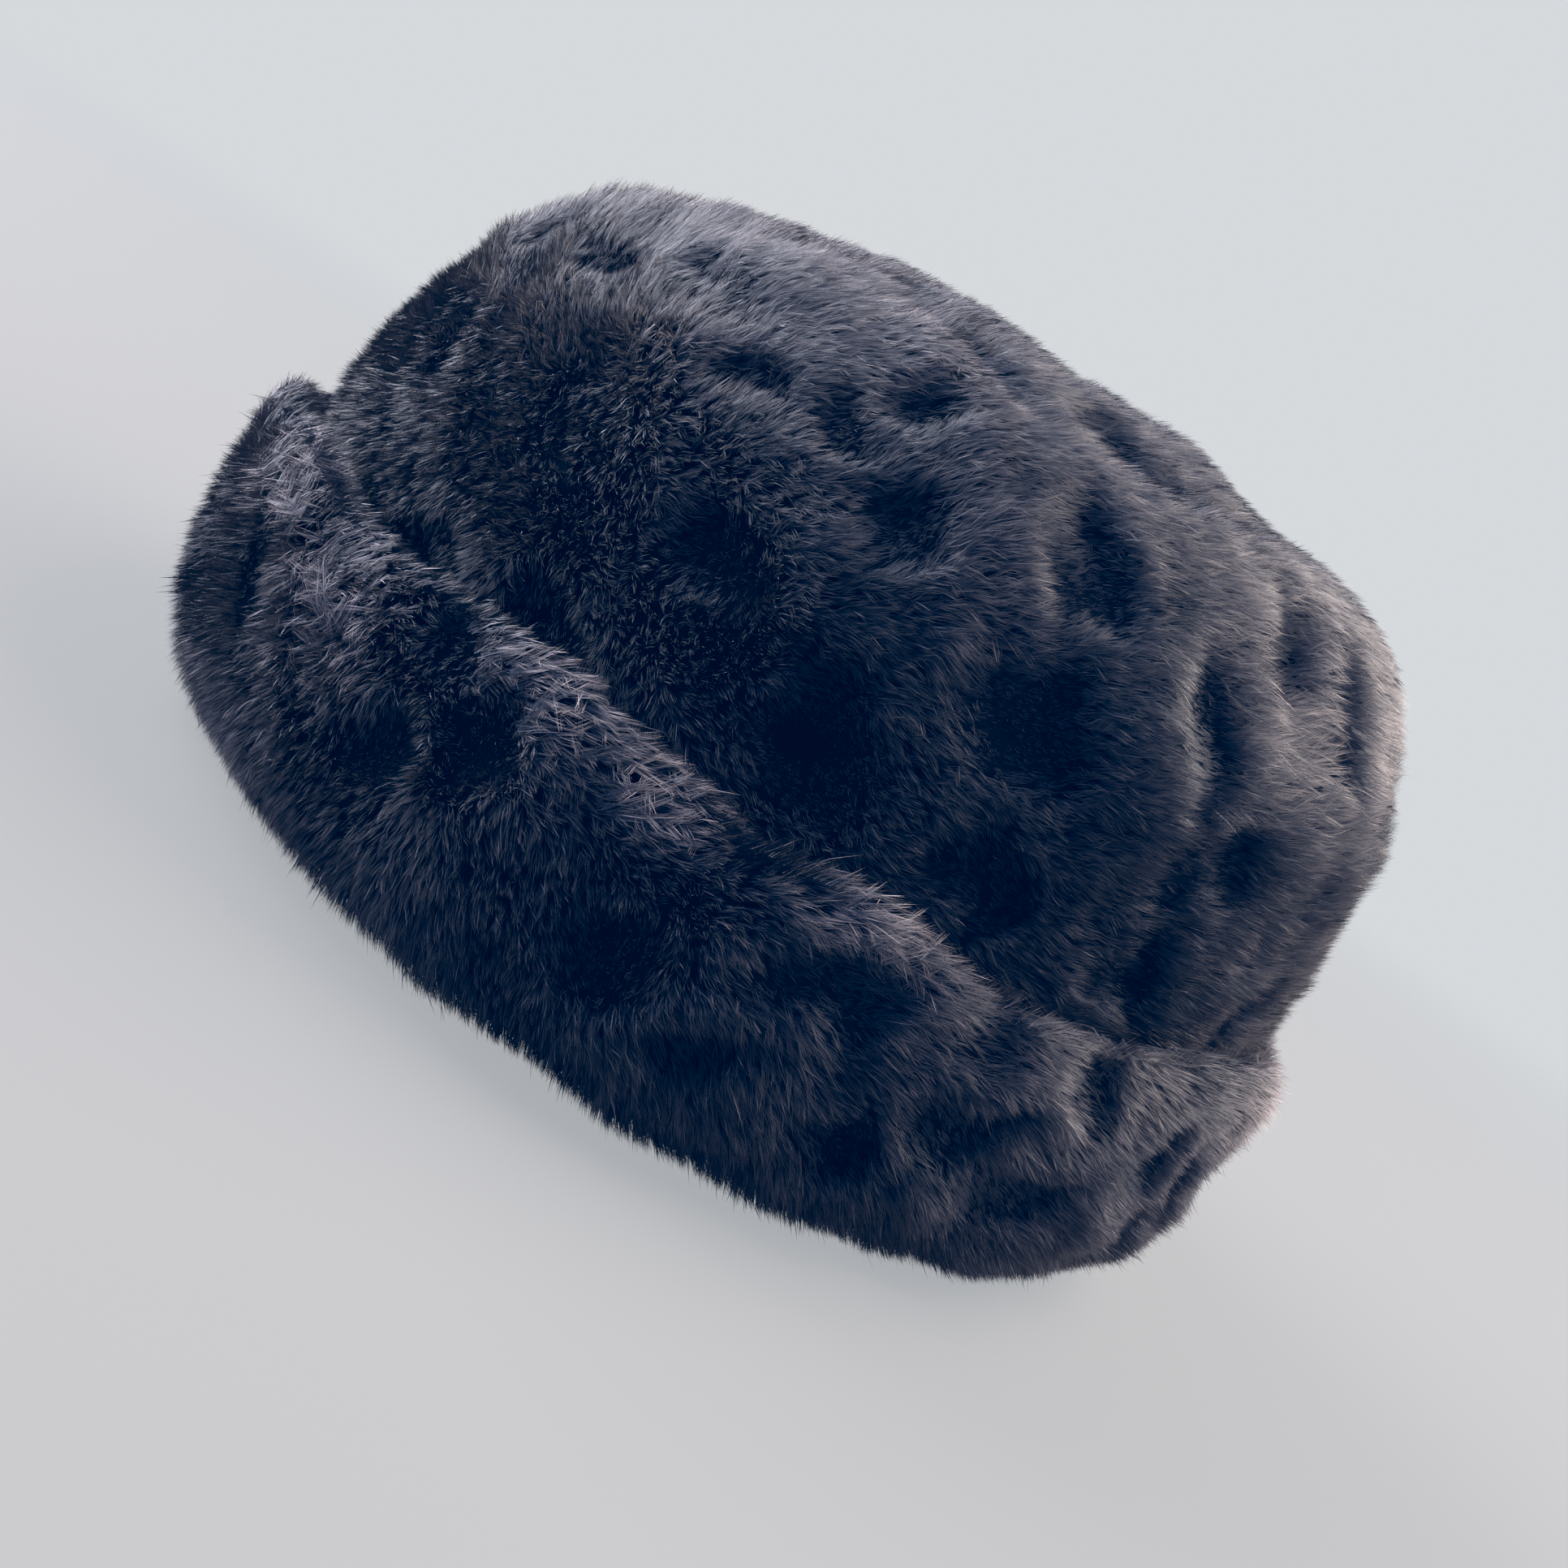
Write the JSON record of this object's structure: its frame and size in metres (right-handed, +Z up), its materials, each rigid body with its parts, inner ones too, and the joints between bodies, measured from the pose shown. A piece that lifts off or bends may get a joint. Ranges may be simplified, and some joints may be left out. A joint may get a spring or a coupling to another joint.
{
  "type": "cossack hat",
  "caption": "Tall round-topped cossack hat of dark sculpted faux fur, hollow and open below, with a wide soft cuff turned up all the way round",
  "frame": {"origin": "on the surface the hat stands on, under the middle of its bounding box", "axes": "+Z up through the crown, -Y the front of the hat, +X the wearer's left"},
  "size_m": [0.2656, 0.2896, 0.172],
  "materials": {
    "crown_fur": "matt dark brown-black faux fur, short pile pressed into hollows",
    "cuff_fur": "matt dark brown-black faux fur, short pile pressed into hollows"
  },
  "bodies": {
    "root": {"crown": "crown_fur", "cuff": "cuff_fur"}
  },
  "joints": []
}
